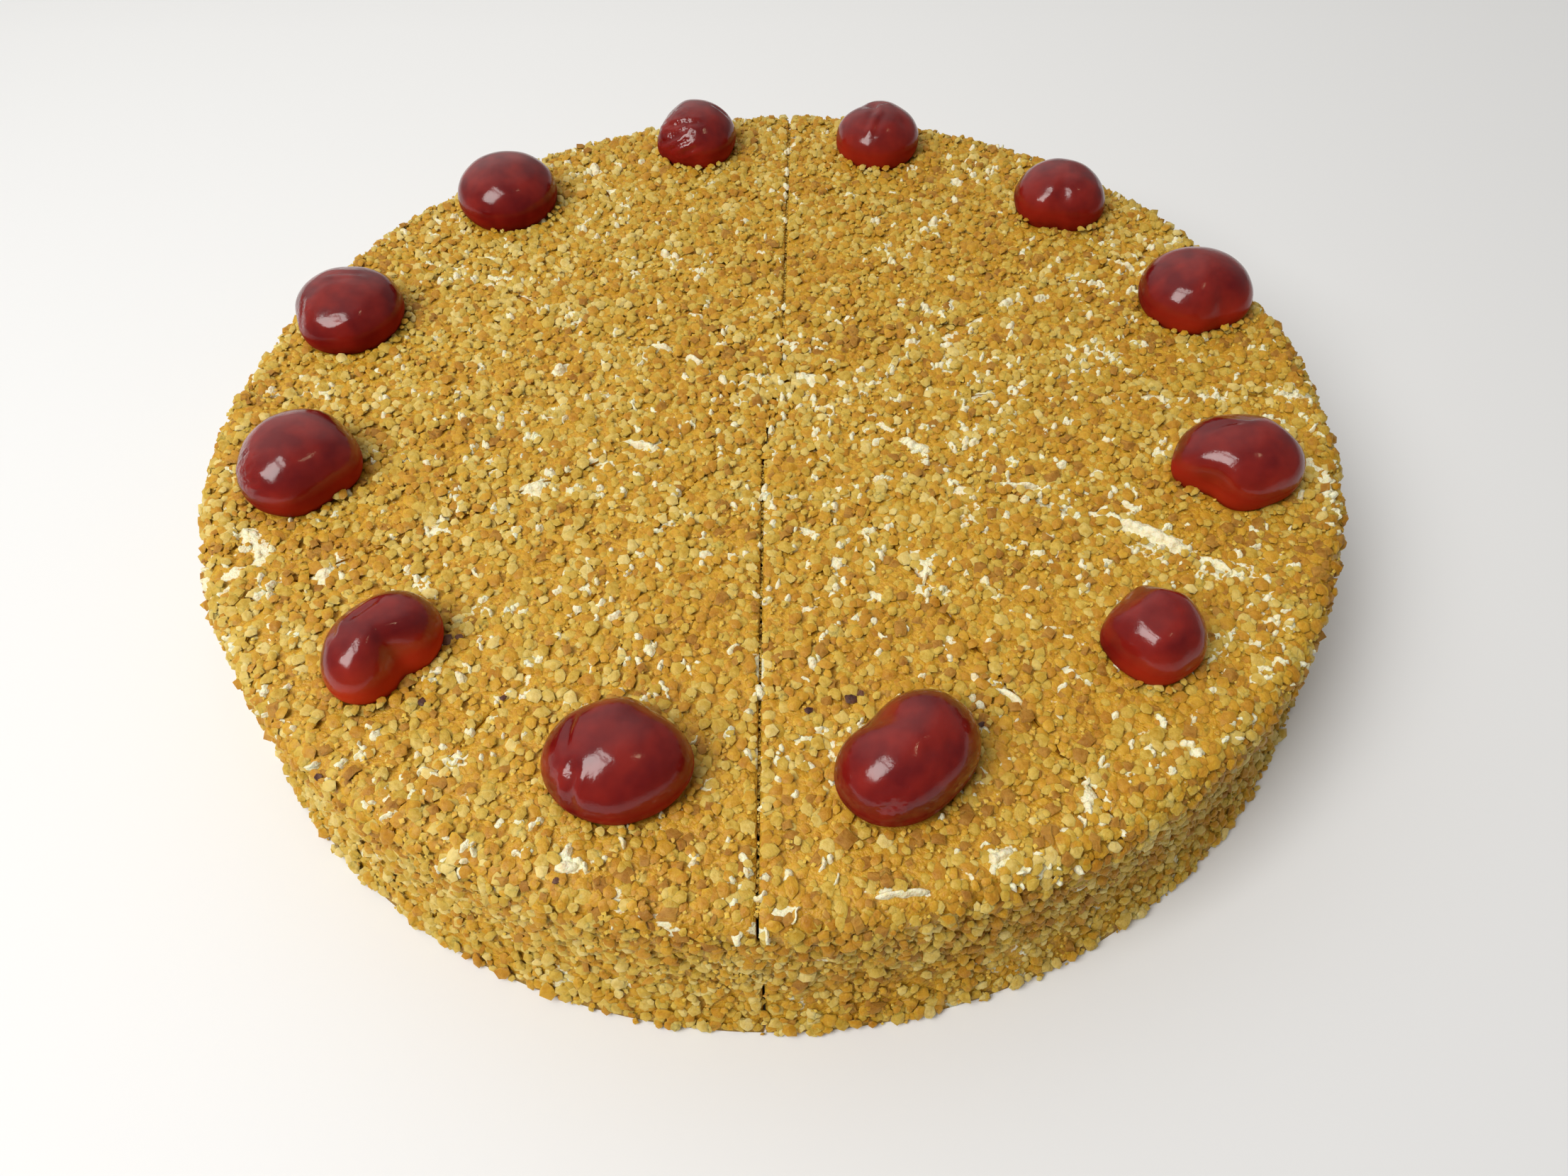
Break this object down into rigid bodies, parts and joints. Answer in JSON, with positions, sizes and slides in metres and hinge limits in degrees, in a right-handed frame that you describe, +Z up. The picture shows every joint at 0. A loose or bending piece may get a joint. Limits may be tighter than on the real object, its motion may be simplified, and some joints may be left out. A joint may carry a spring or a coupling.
{
  "type": "cherry cream torte",
  "caption": "Low round cream torte in a coat of chopped nut krokant, cut into equal slices, with a glace cherry half on each slice.",
  "frame": {"origin": "centre of the torte's round footprint, on the surface that it stands on", "axes": "+Z up through the middle of the torte; +X along the cut between slice_12 and slice_01; slices and cherries count counterclockwise seen from above"},
  "size_m": [0.2529, 0.2522, 0.0517],
  "materials": {
    "krokant_coat": "rough, amber nut krokant over white cream",
    "glace_cherry": "glossy, dark wine red"
  },
  "bodies": {
    "root": {"slice_01": "krokant_coat", "slice_02": "krokant_coat", "slice_03": "krokant_coat", "slice_04": "krokant_coat", "slice_05": "krokant_coat", "slice_06": "krokant_coat", "slice_07": "krokant_coat", "slice_08": "krokant_coat", "slice_09": "krokant_coat", "slice_10": "krokant_coat", "slice_11": "krokant_coat", "slice_12": "krokant_coat", "cherry_01": "glace_cherry", "cherry_02": "glace_cherry", "cherry_03": "glace_cherry", "cherry_04": "glace_cherry", "cherry_05": "glace_cherry", "cherry_06": "glace_cherry", "cherry_07": "glace_cherry", "cherry_08": "glace_cherry", "cherry_09": "glace_cherry", "cherry_10": "glace_cherry", "cherry_11": "glace_cherry", "cherry_12": "glace_cherry"}
  },
  "joints": []
}
